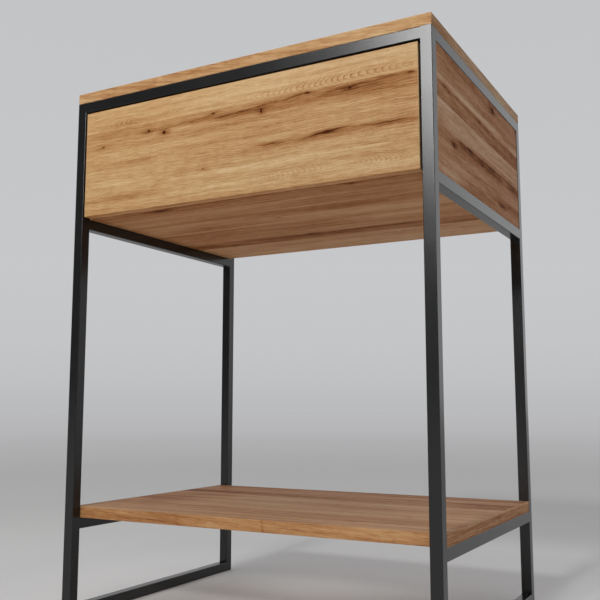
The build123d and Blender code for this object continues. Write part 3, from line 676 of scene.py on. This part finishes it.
SHELF = oak(
    "oak_shelf", "XYZ", 148.5, -185.0, 185.0,
    staves=((-140.0, 0.82, -60.0, 30.0, 2.4, 0.01), (-90.0, 0.68, -250.0, 30.0, 2.8, 0.01),
            (-40.0, 0.82, -66.0, 4.0, 2.0, 0.16), (10.0, 0.80, 110.0, 30.0, 2.8, 0.01),
            (60.0, 0.85, -90.0, 30.0, 2.2, -0.01), (110.0, 0.57, 84.0, 4.0, 2.0, -0.15),
            (150.0, 0.66, 60.0, 30.0, 2.6, 0.01), (185.0, 0.56, 60.0, 30.0, 2.6, 0.01)),
    marks=((-200, 35, 130, 26, -0.20), (120, 30, 140, 12, 0.12), (-190, 85, 110, 20, -0.18),
           (140, 90, 120, 12, 0.14), (-230, -30, 110, 90, -0.32), (190, -186, 90, 9, 0.12),
           (-260, 88, 70, 28, -0.22), (240, 60, 70, 130, -0.14), (60, 55, 200, 5, -0.26),
           (-20, -12, 220, 6, -0.20), (120, -92, 160, 6, -0.20), (40, 102, 160, 6, -0.16)),
    knots=((140, -140, 4.0, 2.4, 0.4), (188, -72, 4.0, 2.4, 0.4), (47, 10, 4.0, 2.4, 0.35),
           (261, 87, 4.0, 2.4, 0.4), (-193, 82, 4.0, 2.4, 0.45), (-85, 94, 4.0, 2.4, 0.45),
           (-60, -120, 3.0, 2.0, 0.3), (38, -185, 2.0, 2.0, 0.22)),
    seams=((-250, -20, 88.0, 92.0, 0.9, 0.35), (60, 260, 84.0, 88.0, 0.8, 0.25)),
    arcs=((40, -64, 160, 18, PLAIN_ARC), (-40, 84, 140, 18, PLAIN_ARC)),
    # the stain is painted shade under the drawer box and a painted cool sheen on the top, bluer towards the
    # back
    seed=15.0, stain_and_shade=((0.66, 0.61, 0.65), (0.66, 0.65, 0.75)), edge_stain=(1.10, 1.01, 0.79),
    end_tint_and_sheen=(1.17, 1.09, 0.99), polish=0.2, slant=0.05, bands=0.75,
    sweep=((0.94, 0.91, 0.88), (1.03, 1.04, 1.07)))

TOP = oak(
    "oak_top", "XYZ", 747.0, -200.0, 200.0,
    staves=((-158.0, 0.78, -60.0, 30.0, 2.4, 0.01), (-104.0, 0.86, -128.0, 4.0, 2.0, 0.17),
            (-62.0, 0.70, -250.0, 30.0, 2.6, -0.01), (-6.0, 0.83, 90.0, 30.0, 2.8, 0.01),
            (44.0, 0.74, 22.0, 5.0, 2.2, -0.15), (92.0, 0.86, -40.0, 30.0, 2.2, 0.01),
            (138.0, 0.66, 260.0, 30.0, 2.6, 0.01), (170.0, 0.80, 154.0, 4.0, 1.8, 0.2),
            (200.0, 0.74, 40.0, 30.0, 2.4, -0.01)),
    marks=((-120, -30, 200, 16, -0.16), (150, 20, 160, 20, -0.14), (-60, 120, 220, 14, -0.12),
           (80, -150, 200, 14, 0.08), (-200, 60, 90, 22, 0.10), (190, -90, 110, 16, -0.14),
           (-110, -200, 150, 14, -0.09), (200, -200, 90, 14, 0.10), (225, 738, 70, 14, -0.20)),
    knots=((-84, -34, 5.0, 4.0, 0.9), (-20, -28, 3.0, 2.0, 0.6), (132, 26, 6.0, 3.0, 0.8),
           (60, 116, 3.0, 2.6, 0.7), (-190, 128, 4.0, 2.0, 0.6), (204, -96, 4.0, 3.4, 0.8),
           (-230, -140, 3.0, 2.0, 0.5), (20, -70, 2.6, 1.8, 0.4), (-140, 60, 3.0, 2.0, 0.4),
           (236, 150, 3.6, 2.2, 0.5)),
    seams=((-180, 40, -36.0, -26.0, 1.1, 0.45), (70, 240, 22.0, 30.0, 1.2, 0.5),
           (-60, 150, 112.0, 118.0, 0.9, 0.35), (120, 262, -98.0, -92.0, 0.9, 0.3)),
    arcs=((-40, -130, 180, 20, PLAIN_ARC), (60, 22, 200, 18, PLAIN_ARC),
          (-150, 154, 140, 12, PLAIN_ARC), (190, 150, 80, 14, PLAIN_ARC)),
    # the grey-blue tint of the two ends is a painted sheen of grazing light on them
    seed=16.0, edge_stain=(0.95, 0.93, 0.93), end_tint_and_sheen=(0.84, 0.92, 1.20), slant=0.14)

spare_wood = random.Random(41)


def spare_oak(name, axes, face, low, high, reach, knots, seams, seed):
    """Oak with the given numbers of knots and seams at random places, up to reach along it."""
    return oak(name, axes, face, low, high, some_staves(spare_wood, low, high), (),
               some_knots(spare_wood, -reach, reach, low, high, knots),
               some_seams(spare_wood, -reach, reach, low, high, seams),
               some_arcs(spare_wood, reach, low, high), seed)


materials = {
    "drawer_front": FRONT,
    "side_panel_right": SIDE_RIGHT,
    "side_panel_left": spare_oak("oak_side_left", "YZX", -274.5, 559.0, 717.0, 185.0, 6, 3, 12.0),
    "box_bottom": BOX_BOTTOM,
    "box_back": spare_oak("oak_box_back", "XZY", 185.0, 574.0, 731.0, 260.0, 7, 3, 14.0),
    "shelf_board": SHELF,
    "top_panel": TOP,
}
slot_materials = {
    "frame_steel": powder_coat("powder_coat"),
    "hardboard": hardboard("hardboard"),
    "zinc_steel": metal("zinc_plate", (0.42, 0.43, 0.45), (0.66, 0.67, 0.70), 0.28),
    "cage_steel": metal("cage_steel", (0.30, 0.30, 0.31), (0.46, 0.46, 0.48), 0.34),
    "ball_steel": metal("ball_steel", (0.70, 0.70, 0.72), (0.82, 0.82, 0.84), 0.08, (3.0, 3.0, 3.0)),
    "latch_body": plastic("latch_body", (0.18, 0.19, 0.20), (0.24, 0.25, 0.27)),
    "latch_tip": plastic("latch_tip", (0.50, 0.50, 0.50), (0.62, 0.62, 0.61)),
}
PLY_ALONG_Y = plain_board("ply_sides", "YZX")
PLY_ALONG_X = plain_board("ply_ends", "XZY")
for name in ("drawer_side_left", "drawer_side_right"):
    materials[name] = PLY_ALONG_Y
for name in ("drawer_box_front", "drawer_back"):
    materials[name] = PLY_ALONG_X


# ------------------------------------------------------------------ ground welds
WELD = 0.0008               # outer corner of the tube
# section of a weld in tube corners: two straight sides and a hollow one
WELD_OUTLINE = ((0.0, 0.0), (1.0, 0.0), (0.62, 0.10), (0.10, 0.62), (0.0, 1.0))


def weld_prism(bm, corner, run, inward, depth, half):
    """Fill of the groove at a rail's end: corner is the middle of the outer edge of the leg
    there, run points along that edge, inward into the leg, depth into the frame."""
    outline = [(WELD * a, WELD * b) for a, b in WELD_OUTLINE]
    rings = []
    for end in (-half, half):
        rings.append([bm.verts.new(corner + run * end + inward * a + depth * b) for a, b in outline])
    for i in range(len(outline)):
        j = (i + 1) % len(outline)
        bm.faces.new((rings[0][i], rings[0][j], rings[1][j], rings[1][i]))
    bm.faces.new(list(reversed(rings[0])))
    bm.faces.new(rings[1])


def ground_welds():
    """The flush welds where the rails butt against the legs' outer faces."""
    bm = bmesh.new()
    up = Vector((0, 0, 1))
    for side in ("left", "right"):
        sign = -1 if side == "left" else 1
        leg_low, leg_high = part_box("leg_front_" + side)
        outer = leg_high[0] if sign > 0 else leg_low[0]
        inner = leg_low[0] if sign > 0 else leg_high[0]
        for rail in ("box_rail_", "shelf_rail_"):
            rail_low, rail_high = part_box(rail + side)
            middle, half = (rail_low[2] + rail_high[2]) / 2, (rail_high[2] - rail_low[2]) / 2 - WELD
            for y, into_leg in ((rail_low[1], -1), (rail_high[1], 1)):
                for x, depth in ((outer, -sign), (inner, sign)):
                    weld_prism(bm, Vector((x, y, middle)), up, Vector((0, into_leg, 0)),
                               Vector((depth, 0, 0)), half)
        for rail, face in (("top_rail_front", 0), ("top_rail_back", 1)):
            rail_low, rail_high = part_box(rail)
            middle, half = (rail_low[2] + rail_high[2]) / 2, (rail_high[2] - rail_low[2]) / 2 - WELD
            y = (rail_low, rail_high)[face][1]
            weld_prism(bm, Vector((inner, y, middle)), up, Vector((sign, 0, 0)),
                       Vector((0, 1 - 2 * face, 0)), half)
    bmesh.ops.recalc_face_normals(bm, faces=bm.faces)
    mesh = bpy.data.meshes.new("ground_welds")
    bm.to_mesh(mesh)
    bm.free()
    mesh.materials.append(slot_materials["frame_steel"])
    welds = bpy.data.objects.new("ground_welds", mesh)
    scene.collection.objects.link(welds)
    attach(welds, "table")


for name, obj in NODES.items():
    obj.data.materials.clear()
    obj.data.materials.append(materials.get(name) or slot_materials[SLOT_OF[name]])

ground_welds()
